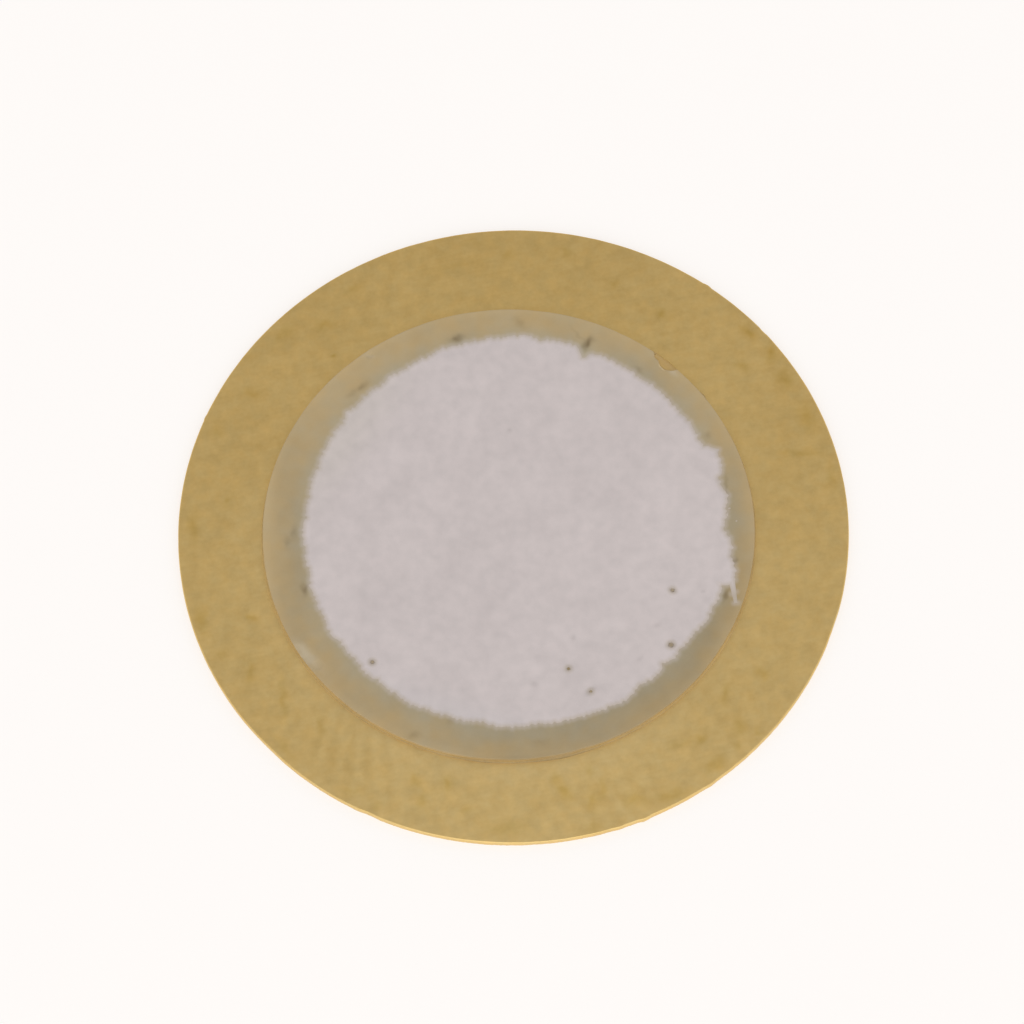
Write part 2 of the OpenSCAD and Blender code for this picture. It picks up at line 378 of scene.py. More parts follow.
def epoxy_rings(s):
    """Rings over the epoxy: film under the ceramic, the wall it climbs, its sloping face, its underside."""
    angles = np.arange(FINE) * 360 / FINE
    around = lift(polar(CERAMIC_R, angles))
    wide = 0.7 + 0.3 * np.cos(np.radians(angles - 290))
    wide = wide + lumps(around, 1.6, 0.35, 21) + lumps(around, 0.3, 0.12, 22)
    for at, along, more in EPOXY_BULGES:
        place = np.radians(turn(angles, at)) * CERAMIC_R
        wide = wide + more * np.exp(-(2 * place / along) ** 2)
    wide = s.width * np.clip(wide, 0.35, None)
    bitten = ceramic_side(angles, CERAMIC_Z + 0.1) < CERAMIC_R - 0.03
    climb = np.where(bitten, FILL_TOP - PLATE_T, s.height * (0.85 + lumps(around, 1.1, 0.25, 23)))
    wall_top = PLATE_T + climb
    wall = ceramic_side(angles, wall_top)
    foot = CERAMIC_R + wide
    rings = face_rings(FILM_Z, (1.6, 3.2), (4.8, 6.4), (7.6, 8.8))
    rings += [ring(FINE, FILM_R, z) for z in (FILM_Z, CERAMIC_Z)]
    for share in (0.0, 0.33, 0.66, 1.0):
        level = CERAMIC_Z + share * (wall_top - CERAMIC_Z)
        rings.append(ring(FINE, ceramic_side(angles, level), level))
    for share in np.linspace(0, 1, 10)[1:]:
        hollow = (1 - share) ** 2 + 0.12 * share * (1 - share)
        full = np.clip(1 - share ** 3, 0, 1)
        drop = np.where(bitten, full, hollow)
        radius = wall + share * (foot - wall)
        skin = lumps(lift(polar(radius, angles)), 0.25, 0.006, 24, 2)
        level = PLATE_T + drop * climb + np.where(share < 1, skin * 4 * share * (1 - share), 0)
        rings.append(ring(FINE, radius, np.maximum(level, PLATE_T)))
    rings += face_rings(PLATE_T, (1.8, 3.4), (5.0, 6.8), (8.4, 9.6))[::-1]
    return [r + np.array([*CERAMIC_AT, 0]) for r in rings]


def face_loops(node):
    """Outlines of a CAD node's upper face, each a list of points: the outer ones run counter-clockwise."""
    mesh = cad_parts[node].data
    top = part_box(node)[1].z
    key = [tuple(round(c, 9) for c in v.co) for v in mesh.vertices]
    directed = set()
    for face in mesh.polygons:
        if face.normal.z > 0.9 and all(abs(key[v][2] - top) < 1e-7 for v in face.vertices):
            ends = [key[v] for v in face.vertices]
            directed.update(zip(ends, ends[1:] + ends[:1]))
    follow = {a: b for a, b in directed if (b, a) not in directed}
    loops = []
    while follow:
        start, at = follow.popitem()
        loop = [start]
        while at != start:
            loop.append(at)
            at = follow.pop(at)
        loops.append(np.array(loop)[:, :2] / MM)
    return sorted(loops, key=len, reverse=True)


def fill_loops(loops, inner=()):
    """Triangles between closed loops of points, through further points inside them; the loops' points come first."""
    outline = np.vstack(loops)
    starts = np.cumsum([0] + [len(p) for p in loops])
    edges = [(s + i, s + (i + 1) % len(p)) for s, p in zip(starts, loops) for i in range(len(p))]
    given = np.vstack([outline, inner]) if len(inner) else outline
    found, _, faces, origin, _, _ = delaunay_2d_cdt([Vector(p) for p in given], edges, [], 1, 1e-7)
    number = [min(rows) for rows in origin]
    holes = [(p.mean(0), np.linalg.norm(p - p.mean(0), axis=1).min()) for p in loops[1:]]
    kept = []
    for face in faces:
        middle = np.mean([found[v] for v in face], axis=0)
        if all(np.linalg.norm(middle - c) > r * 0.9 for c, r in holes):
            kept.append([number[v] for v in face])
    return given, kept


def print_outline():
    """Ragged outlines of the printed silver and its pinholes, and a function for the distance to the nearest."""
    loops = face_loops("upper_electrode")
    for i, loop in enumerate(loops):
        middle = loop.mean(0)
        out = (loop - middle) / np.linalg.norm(loop - middle, axis=1)[:, None]
        nibble = lumps(lift(loop), 0.1, 0.009, 31 + i, 2)
        loops[i] = loop + out * nibble[:, None] * (1 if i == 0 else 0.4)
    edge = kdtree.KDTree(sum(2 * len(p) for p in loops))
    for i, p in enumerate(np.vstack([np.vstack([p, (p + np.roll(p, 1, 0)) / 2]) for p in loops])):
        edge.insert((*p, 0), i)
    edge.balance()

    def from_edge(points):
        return np.array([edge.find((*p, 0))[2] for p in points])

    return loops, from_edge


def print_mesh(s):
    """Printed silver with a ragged edge that thins out, and its pinholes; with how near each point is to an edge."""
    loops, from_edge = print_outline()
    rim = []
    for inset in (0.3, 0.65, 1.05, 1.7):
        for loop in loops:
            ahead, behind = np.roll(loop, -1, 0), np.roll(loop, 1, 0)
            along = ahead - behind
            left = np.column_stack([-along[:, 1], along[:, 0]]) / np.linalg.norm(along, axis=1)[:, None]
            moved = loop + left * inset * s.feather
            rim.append(moved[from_edge(moved) > 0.85 * inset * s.feather])
    span = np.arange(-9.2, 9.2, s.grid)
    across, up = np.meshgrid(span, span * 0.866)
    across[::2] += s.grid / 2
    field = np.column_stack([across.ravel(), up.ravel()]) + PRINT_AT
    random = np.random.default_rng(7)
    field = field + random.uniform(-0.2, 0.2, field.shape) * s.grid
    radius = np.linalg.norm(field - PRINT_AT, axis=1)
    near = radius < 8.2
    far = ~near & (radius < 9.3)
    inside = inside_loop(field[far], loops[0]) & (from_edge(field[far]) > 2.2 * s.feather)
    field = np.vstack([field[near], field[far][inside]])
    clear = np.array([all(np.linalg.norm(p - h.mean(0)) > 0.2 for h in loops[1:]) for p in field])
    rim = np.vstack(rim)
    rim = rim[inside_loop(rim, loops[0])]
    points, upper = fill_loops(loops, np.vstack([rim, field[clear]]))
    thick = PRINT_TOP - CERAMIC_TOP
    rise = np.clip(from_edge(points) / s.feather, 0, 1)
    share = s.lip + (1 - s.lip) * (1 - (1 - rise) ** 2)
    grain = lumps(lift(points), 0.22, 0.0016, 41, 2) - 0.0012
    level = CERAMIC_TOP + share * thick + np.minimum(grain, 0) * rise
    count = sum(len(p) for p in loops)
    flat, lower = fill_loops(loops)
    verts = np.vstack([lift(points, level), lift(flat, CERAMIC_TOP)])
    base = len(points)
    faces = upper + [[base + a for a in reversed(f)] for f in lower]
    start = 0
    for loop in loops:
        numbers = np.arange(start, start + len(loop))
        after = np.roll(numbers, -1)
        faces += np.column_stack([base + numbers, base + after, after, numbers]).tolist()
        start += len(loop)
    near = np.clip(1 - from_edge(points) / BLEED, 0, 1)
    return verts, faces, np.concatenate([near, np.ones(count)])


def inside_loop(points, loop):
    """Whether each point lies inside a closed loop."""
    a, b = loop, np.roll(loop, -1, 0)
    result = np.zeros(len(points), bool)
    for i in range(0, len(points), 2000):
        x, y = points[i:i + 2000, :1], points[i:i + 2000, 1:]
        crosses = (a[:, 1] > y) != (b[:, 1] > y)
        rise = np.where(crosses, b[:, 1] - a[:, 1], 1.0)
        hit = a[:, 0] + (y - a[:, 1]) * (b[:, 0] - a[:, 0]) / rise
        result[i:i + 2000] = (crosses & (x < hit)).sum(1) % 2 == 1
    return result


# Silver flecks beside the print: place, length, width, turn
FLECKS = [
    ((8.62, 0.35), 0.16, 0.09, 70), ((8.72, 0.62), 0.1, 0.06, 20), ((8.98, 0.05), 0.07, 0.05, 0),
]


def add_flecks(verts, faces, near):
    """Adds the loose flecks of silver, each a low closed dome on the ceramic."""
    steps = 14
    for (x, y), long, wide, tilt in FLECKS:
        a = np.arange(steps) * 2 * math.pi / steps
        rough = 1 + 0.25 * np.sin(3 * a + 9 * x) + 0.15 * np.sin(5 * a + 4 * y)
        flat = np.column_stack([np.cos(a) * long / 2 * rough, np.sin(a) * wide / 2 * rough])
        c, s = math.cos(math.radians(tilt)), math.sin(math.radians(tilt))
        flat = flat @ np.array([[c, s], [-s, c]])
        rings = [lift(flat * share + (x, y), CERAMIC_TOP + z)
                 for share, z in ((0.5, 0.009), (0.85, 0.006), (1.0, 0.0), (0.5, 0.0))]
        points, more = closed_skin(rings, (x, y, CERAMIC_TOP + 0.01), (x, y, CERAMIC_TOP))
        faces = faces + [[len(verts) + v for v in f] for f in more]
        verts = np.vstack([verts, points])
        near = np.concatenate([near, np.ones(len(points))])
    return verts, faces, near


# ---------------------------------------------------------------- node wiring


class Wiring:
    """A node tree being wired. Each call adds a node; values may be numbers, tuples or other nodes' sockets."""

    def __init__(self, tree):
        self.tree = tree

    def add(self, kind, inputs=None, **settings):
        node = self.tree.nodes.new(kind)
        for name, value in settings.items():
            setattr(node, name, value)
        for key, value in (inputs or {}).items():
            if isinstance(value, bpy.types.NodeSocket):
                self.tree.links.new(value, node.inputs[key])
            else:
                node.inputs[key].default_value = value
        return node

    def math(self, operation, *values, clamp=False):
        return self.add("ShaderNodeMath", dict(enumerate(values)), operation=operation, use_clamp=clamp).outputs[0]

    def vector(self, operation, *values):
        node = self.add("ShaderNodeVectorMath", operation=operation)
        for i, value in enumerate(values):
            socket = node.inputs["Scale"] if operation == "SCALE" and i == 1 else node.inputs[i]
            if isinstance(value, bpy.types.NodeSocket):
                self.tree.links.new(value, socket)
            else:
                socket.default_value = value
        return node.outputs["Value"] if operation in ("LENGTH", "DOT_PRODUCT") else node.outputs[0]

    def remap(self, value, low, high, to_low=0.0, to_high=1.0, smooth=False):
        kind = "SMOOTHSTEP" if smooth else "LINEAR"
        return self.add("ShaderNodeMapRange", {0: value, 1: low, 2: high, 3: to_low, 4: to_high},
                        interpolation_type=kind).outputs[0]

    def noise(self, position, size, detail=2.0, roughness=0.5, colour=False):
        """Noise with features of a given size in the units of the position."""
        scaled = self.vector("SCALE", position, self.math("DIVIDE", 1.0, size))
        node = self.add("ShaderNodeTexNoise", {"Vector": scaled, "Scale": 1.0, "Detail": detail,
                                               "Roughness": roughness})
        return node.outputs[1 if colour else 0]

    def mix(self, factor, a, b):
        return self.add("ShaderNodeMix", {0: factor, 6: a, 7: b}, data_type="RGBA").outputs[2]

    def turned(self, position, angle):
        return self.add("ShaderNodeVectorRotate", {"Vector": position, "Angle": angle},
                        rotation_type="Z_AXIS").outputs[0]

    def group(self, tree, **inputs):
        return self.add("ShaderNodeGroup", {k.replace("_", " ").capitalize(): v for k, v in inputs.items()},
                        node_tree=tree).outputs[0]

    def effect(self, name, position, **inputs):
        """A shared effect at given positions; its place is a flat point and its angle is in degrees."""
        if "place" in inputs:
            inputs["place"] = (*inputs["place"], 0)
        if "angle" in inputs:
            inputs["angle"] = math.radians(inputs["angle"])
        return self.group(effect(name), position=position, **inputs)


def new_group(name, sockets, gives=("Mask", "Float")):
    """A shader node group with named inputs and one output; returns its wiring and its inputs."""
    tree = bpy.data.node_groups.new(name, "ShaderNodeTree")
    for label, kind, value in sockets:
        socket = tree.interface.new_socket(name=label, in_out="INPUT", socket_type="NodeSocket" + kind)
        socket.default_value = value
    tree.interface.new_socket(name=gives[0], in_out="OUTPUT", socket_type="NodeSocket" + gives[1])
    wires = Wiring(tree)
    return wires, wires.add("NodeGroupInput").outputs


def close_group(wires, result):
    wires.add("NodeGroupOutput", {0: result})
    return wires.tree


def speckle_group():
    """Fine grain: noise of a given size, stretched along a direction, about 0.5."""
    w, given = new_group("Speckle", [
        ("Position", "Vector", (0, 0, 0)), ("Size", "Float", 0.2), ("Angle", "Float", 0.0), ("Stretch", "Float", 1.0),
        ("Contrast", "Float", 1.0), ("Detail", "Float", 1.0)])
    turned = w.turned(given["Position"], given["Angle"])
    squeeze = w.add("ShaderNodeCombineXYZ", {0: w.math("DIVIDE", 1.0, given["Stretch"]), 1: 1.0, 2: 1.0}).outputs[0]
    grain = w.noise(w.vector("MULTIPLY", turned, squeeze), given["Size"], given["Detail"], 0.6)
    wide = w.math("MULTIPLY", w.math("SUBTRACT", grain, 0.5), given["Contrast"])
    return close_group(w, w.math("ADD", wide, 0.5, clamp=True))


def patch_group():
    """A soft oval patch: 1 in its middle, a half at its half length and half width, fading out beyond."""
    w, given = new_group("Patch", [
        ("Position", "Vector", (0, 0, 0)), ("Place", "Vector", (0, 0, 0)), ("Angle", "Float", 0.0),
        ("Long", "Float", 1.0), ("Wide", "Float", 1.0)])
    moved = w.turned(w.vector("SUBTRACT", given["Position"], given["Place"]), given["Angle"])
    size = w.add("ShaderNodeCombineXYZ", {0: given["Long"], 1: given["Wide"], 2: 100.0}).outputs[0]
    away = w.vector("DIVIDE", moved, size)
    return close_group(w, w.math("POWER", 0.5, w.vector("DOT_PRODUCT", away, away)))


def ridges_group():
    """Parallel ridges of a given pitch at their place, as of a fingertip or a woven screen; Fan spreads them."""
    w, given = new_group("Ridges", [
        ("Position", "Vector", (0, 0, 0)), ("Place", "Vector", (0, 0, 0)), ("Angle", "Float", 0.0),
        ("Pitch", "Float", 0.5), ("Fan", "Float", 0.0)])
    moved = w.turned(w.vector("SUBTRACT", given["Position"], given["Place"]), given["Angle"])
    across, along, _ = w.add("ShaderNodeSeparateXYZ", {0: moved}).outputs
    spread = w.math("MULTIPLY", given["Pitch"], w.math("MULTIPLY_ADD", given["Fan"], along, 1.0))
    wave = w.math("COSINE", w.math("MULTIPLY", w.math("DIVIDE", across, spread), 2 * math.pi))
    return close_group(w, w.math("MULTIPLY_ADD", wave, 0.5, 0.5))


def ring_group():
    """A ring round a centre: 1 on its radius, fading to 0 half a width away."""
    w, given = new_group("Ring", [
        ("Position", "Vector", (0, 0, 0)), ("Place", "Vector", (0, 0, 0)), ("Radius", "Float", 1.0),
        ("Width", "Float", 0.2)])
    moved = w.vector("MULTIPLY", w.vector("SUBTRACT", given["Position"], given["Place"]), (1, 1, 0))
    away = w.math("ABSOLUTE", w.math("SUBTRACT", w.vector("LENGTH", moved), given["Radius"]))
    half = w.math("MULTIPLY", given["Width"], 0.5)
    return close_group(w, w.remap(away, 0.0, half, 1.0, 0.0, smooth=True))


def tint_group():
    """A colour made warmer where a mask is low and bluer where it is high."""
    w, given = new_group("Tint", [
        ("Colour", "Color", (1, 1, 1, 1)), ("Mask", "Float", 0.5), ("Amount", "Float", 0.02)], ("Colour", "Color"))
    swing = w.math("MULTIPLY", w.math("MULTIPLY_ADD", given["Mask"], -2.0, 1.0), given["Amount"])
    shift = w.vector("MULTIPLY_ADD", swing, (1, 0, -2), (1, 1, 1))
    return close_group(w, w.vector("MULTIPLY", given["Colour"], shift))


def bleed_group():
    """A colour run into another beside the print's edge, as far as the mesh's points say."""
    w, given = new_group("Bleed", [
        ("Colour", "Color", (1, 1, 1, 1)), ("Other", "Color", (1, 1, 1, 1)), ("Near", "Float", 0.0),
        ("Strength", "Float", 0.45)], ("Colour", "Color"))
    share = w.math("MULTIPLY", given["Near"], given["Strength"])
    return close_group(w, w.mix(share, given["Colour"], given["Other"]))


def effect(name):
    """A shared node group by name, built the first time it is asked for."""
    build = {"Speckle": speckle_group, "Patch": patch_group, "Ridges": ridges_group, "Ring": ring_group,
             "Tint": tint_group, "Bleed": bleed_group}[name]
    return bpy.data.node_groups.get(name) or build()


def new_finish(name):
    """A material with its wiring, its shader and positions in millimetres."""
    material = bpy.data.materials.new(name)
    material.use_nodes = True
    material.node_tree.nodes.clear()
    w = Wiring(material.node_tree)
    shader = w.add("ShaderNodeBsdfPrincipled")
    w.add("ShaderNodeOutputMaterial", {"Surface": shader.outputs[0]})
    position = w.vector("SCALE", w.add("ShaderNodeTexCoord").outputs["Object"], 1 / MM)
    return material, w, shader, position


def join(w, shader, colour=None, roughness=None, height=None, bump=(1.0, 0.01), metallic=None):
    """Leads what was worked out into the shader; the bump's height is in millimetres times its second number."""
    for name, value in (("Base Color", colour), ("Roughness", roughness), ("Metallic", metallic)):
        if isinstance(value, bpy.types.NodeSocket):
            w.tree.links.new(value, shader.inputs[name])
        elif value is not None:
            shader.inputs[name].default_value = value
    if height is not None:
        node = w.add("ShaderNodeBump", {"Height": height, "Strength": bump[0], "Distance": bump[1] * MM})
        w.tree.links.new(node.outputs[0], shader.inputs["Normal"])


def colour4(colour):
    return (*colour, 1.0)


def tones(w, *rows):
    """A factor about 1 for a colour: each row is a mask, the middle that it swings about, and how strongly."""
    total = 1.0 - sum(middle * amount for _, middle, amount in rows)
    for mask, _, amount in rows:
        total = w.math("MULTIPLY_ADD", mask, amount, total)
    return total


def wavering(w, position, size, reach):
    """Positions shifted by noise, which makes the outlines drawn from them ragged."""
    shift = w.noise(position, size, 0.0, colour=True)
    return w.vector("MULTIPLY_ADD", shift, (reach,) * 3, w.vector("SUBTRACT", position, (reach / 2,) * 3))


def bleed(w, base, other):
    """A colour run into another beside the print's edge."""
    near = w.add("ShaderNodeAttribute", attribute_name="bleed").outputs["Fac"]
    return w.group(effect("Bleed"), colour=base, other=(*other, 1), near=near)


def patches(w, position, rows):
    """Soft patches from rows of place, half length, half width, turn and strength, added up."""
    total = 0.0
    for (x, y), long, wide, angle, strength in rows:
        mask = w.effect("Patch", position, place=(x, y), angle=-angle, long=long, wide=wide)
        total = w.math("MULTIPLY_ADD", mask, strength, total)
    return total


# Brown stains on the brass: place, half length, half width, turn, strength
BRASS_STAINS = [
    ((-9.4, -6.95), 0.7, 0.13, 92, 0.30), ((-7.9, -8.2), 0.4, 0.13, 95, 0.22), ((-10.65, -5.8), 0.4, 0.17, 88, 0.32),
    ((-11.85, -5.05), 0.2, 0.15, 0, 0.22), ((-9.3, -9.2), 0.5, 0.16, 120, 0.24), ((-4.15, -10.65), 0.24, 0.17, 80, 0.3),
    ((-2.9, -10.9), 0.24, 0.19, 90, 0.42), ((-3.95, -11.6), 0.28, 0.19, 75, 0.32), ((-2.2, -12.0), 0.2, 0.17, 0, 0.24),
    ((-0.65, -12.85), 0.65, 0.24, 0, 0.28), ((-10.6, -3.45), 0.15, 0.14, 90, 0.36),
    ((-12.6, -3.5), 0.5, 0.2, 100, 0.36),
    ((-6.7, -11.1), 0.4, 0.15, 0, 0.2), ((-5.75, -11.7), 0.18, 0.15, 0, 0.24), ((1.75, -11.35), 0.3, 0.19, 120, 0.5),
    ((1.4, -10.75), 0.2, 0.16, 120, 0.32), ((2.75, -10.5), 0.2, 0.14, 100, 0.24),
    ((2.85, -11.75), 0.34, 0.18, 80, 0.36),
    ((3.25, -11.3), 0.34, 0.12, 85, 0.28), ((2.9, -12.95), 0.3, 0.16, 0, 0.24), ((4.55, -11.8), 0.34, 0.24, 0, 0.36),
    ((6.0, -11.65), 0.5, 0.18, 10, 0.36), ((7.75, -10.4), 0.38, 0.22, 40, 0.36), ((7.25, -9.25), 0.22, 0.18, 60, 0.42),
    ((8.75, -8.85), 0.3, 0.2, 70, 0.34), ((9.5, -9.1), 0.17, 0.14, 0, 0.3), ((8.65, -9.6), 0.17, 0.13, 90, 0.3),
    ((9.75, -6.5), 0.24, 0.2, 30, 0.3), ((8.3, -7.3), 0.32, 0.15, 70, 0.34), ((6.3, -9.5), 0.4, 0.15, 10, 0.22),
    ((4.3, 10.9), 0.17, 0.15, 0, 0.28), ((9.85, 8.55), 0.26, 0.17, 140, 0.48), ((10.7, 7.55), 0.28, 0.2, 110, 0.5),
    ((11.2, 6.35), 0.36, 0.22, 100, 0.4), ((12.0, 4.65), 0.5, 0.24, 100, 0.34), ((6.3, 9.45), 0.24, 0.17, 0, 0.42),
    ((9.5, 7.0), 0.28, 0.13, 150, 0.3), ((2.5, 12.4), 0.2, 0.16, 90, 0.28), ((11.7, 3.05), 0.6, 0.14, 0, 0.32),
    ((12.95, 1.9), 0.45, 0.16, 95, 0.26), ((-9.1, 9.05), 0.34, 0.22, 60, 0.3), ((-7.16, 8.04), 0.1, 0.09, 0, 0.5),
    ((-6.25, 11.0), 0.3, 0.15, 30, 0.3), ((-7.5, 9.45), 0.32, 0.22, 20, 0.36), ((-10.4, 6.45), 0.34, 0.18, 0, 0.3),
    ((-11.9, 4.8), 0.3, 0.2, 80, 0.24), ((-11.45, 1.65), 0.17, 0.15, 90, 0.28), ((-12.9, 0.6), 0.5, 0.2, 90, 0.34),
    ((0.1, 12.35), 0.2, 0.16, 0, 0.24), ((-2.2, 11.9), 0.9, 0.14, 10, 0.14),
]
# Broad lighter and darker areas of the brass, in the same order
BRASS_CLOUDS = [
    ((-8.8, -9.0), 3.6, 3.6, 0, -0.033), ((9.0, -9.0), 3.4, 3.4, 0, -0.028), ((9.0, 9.0), 3.4, 3.4, 0, 0.025),
]
# Finger marks on the brass: place, half length, half width, turn, then the ridges' turn, pitch, fan and strength
FINGER_MARKS = [
    ((-6.4, -9.7), 2.2, 1.2, -38, 3, 0.72, -0.12, 0.055), ((3.6, -11.6), 2.4, 1.1, 15, -30, 0.75, 0.03, 0.045),
    ((8.6, -8.8), 2.2, 1.1, 45, -25, 0.75, 0.0, 0.035),
]


def brass_finish(s):
    """Rolled brass: fine grain, rolling streaks and a rough torn edge, handled and stained on all but its underside;
    painted light makes it lighter towards the front.
    """
    material, w, shader, position = new_finish("rolled_brass")
    level = w.add("ShaderNodeSeparateXYZ", {0: position}).outputs[2]
    handled = w.remap(level, 0.0, 0.03, 0.0, 1.0)
    ragged = wavering(w, position, 0.45, 0.36)
    grain = w.effect("Speckle", position, size=0.16, contrast=1.6)
    mottle = w.effect("Speckle", position, size=0.5, contrast=1.6)
    tint = w.effect("Speckle", w.vector("ADD", position, (40, 0, 0)), size=0.5, contrast=2.0)
    cloud = w.effect("Speckle", position, size=4.0, contrast=1.3, detail=0.0)
    streak = w.effect("Speckle", position, size=0.13, angle=-12, stretch=9.0,
                     contrast=1.5, detail=0.0)
    stain = w.math("MULTIPLY", w.math("MULTIPLY", patches(w, ragged, BRASS_STAINS), s.handling), handled)
    # Painted light: the front patch makes the brass lighter towards the front and darker towards the back, as the soft
    # light falls on it.
    front = w.effect("Patch", position, place=(0, -16), long=30.0, wide=14.0)
    rows = [(grain, 0.5, 0.055), (mottle, 0.5, 0.06), (streak, 0.5, 0.025), (cloud, 0.5, 0.04), (front, 0.367, 0.15),
            (patches(w, position, BRASS_CLOUDS), 0.0, 1.0)]
    for place, long, wide, angle, lines, pitch, fan, strength in FINGER_MARKS:
        zone = w.effect("Patch", position, place=place, angle=-angle, long=long, wide=wide)
        wave = w.effect("Ridges", ragged, place=place, angle=lines, pitch=pitch, fan=fan)
        zone = w.math("MULTIPLY", zone, handled)
        rows.append((w.math("MULTIPLY", zone, w.math("SUBTRACT", wave, 0.5)), 0.0, strength * s.handling))
    # The paler brass beside the ceramic is limited to the front by the same painted front light.
    beside = w.effect("Ring", position, place=CERAMIC_AT, radius=10.2, width=3.0)
    pale = w.math("MULTIPLY", w.math("MULTIPLY", beside, handled), w.math("MULTIPLY", front, 0.5))
    base = w.mix(pale, colour4(s.colour), (0.80, 0.60, 0.27, 1))
    shade = w.vector("MULTIPLY_ADD", w.math("SUBTRACT", tones(w, *rows), 1.0), (1, 1.3, 2.1), (1, 1, 1))
    base = w.vector("MULTIPLY", w.mix(stain, base, colour4(s.stain)), shade)
    base = w.group(effect("Tint"), colour=base, mask=tint, amount=0.02)
    torn = w.math("MULTIPLY", w.remap(level, 0.1, 0.13, 1.0, 0.0), handled)
    rough = w.math("ADD", tones(w, (mottle, 0.5, 0.12), (stain, 0.0, 0.15), (torn, 0.0, 0.25)), -0.54)
    join(w, shader, base, rough, grain, (0.35, 0.005))
    shader.inputs["Metallic"].default_value = 1.0
    return material


# Dark specks and rubbed spots on the ceramic's bare margin, in the same order of values as the brass stains
CERAMIC_STAINS = [
    ((-2.08, 8.53), 0.24, 0.15, 10, 0.6), ((-5.95, 6.5), 0.2, 0.11, 40, 0.36), ((-6.4, 6.2), 0.2, 0.13, 30, 0.2),
    ((0.5, 9.15), 0.24, 0.13, 130, 0.2), ((3.25, 8.15), 0.24, 0.13, 60, 0.7), ((2.85, 8.55), 0.36, 0.05, 122, 0.12),
    ((-9.07, -0.3), 0.2, 0.12, 90, 0.2), ((-8.82, 0.15), 0.22, 0.1, 90, 0.24), ((-8.44, -2.4), 0.2, 0.09, 95, 0.5),
    ((8.84, -1.7), 0.13, 0.08, 88, 0.4), ((8.45, -3.2), 0.22, 0.09, 75, 0.5), ((7.95, 3.9), 0.15, 0.1, 60, 0.2),
    ((-4.2, -8.85), 0.2, 0.12, 20, 0.22), ((-2.75, -8.3), 0.14, 0.1, 0, 0.16), ((5.3, 6.9), 0.16, 0.1, 130, 0.24),
    ((8.6, 1.6), 0.5, 0.07, 92, 0.24), ((6.4, 5.5), 0.14, 0.09, 130, 0.2), ((0.8, -9.3), 0.3, 0.12, 5, 0.12),
    ((-5.78, -5.64), 0.15, 0.15, 0, 0.3), ((6.31, -2.9), 0.15, 0.15, 0, 0.3), ((6.16, -5.28), 0.15, 0.15, 0, 0.4),
    ((2.04, -6.18), 0.15, 0.15, 0, 0.4), ((2.9, -7.19), 0.15, 0.15, 0, 0.2),
]
# Pale fresh breaks in the ceramic, in the same order
CERAMIC_BREAKS = [
    ((-8.4, -5.25), 0.6, 0.2, 131, 0.75), ((-5.6, 7.85), 0.17, 0.08, 0, 0.35), ((6.66, 6.75), 0.16, 0.1, 130, 0.6),
]
# Broad lighter and darker areas of the ceramic, in the same order
CERAMIC_CLOUDS = [
    ((-8.8, -1.5), 0.55, 5.5, 0, -0.09), ((-9.95, 0.5), 0.25, 4.5, 0, 0.05), ((-9.35, 0.0), 0.2, 2.0, 0, -0.02),
    ((7.75, -4.7), 0.35, 2.0, -30, -0.08), ((8.4, -5.1), 0.3, 1.6, -30, 0.03), ((-7.0, -6.6), 2.6, 2.6, 0, -0.05),
    ((8.95, 0.9), 0.35, 2.4, 0, -0.06), ((5.55, 6.75), 1.5, 0.3, -40, -0.06), ((-6.3, 7.1), 2.2, 0.6, 42, 0.035),
    ((-0.2, -10.0), 6.0, 0.14, 0, -0.09), ((-5.0, -8.6), 2.2, 0.3, -30, 0.03),
]


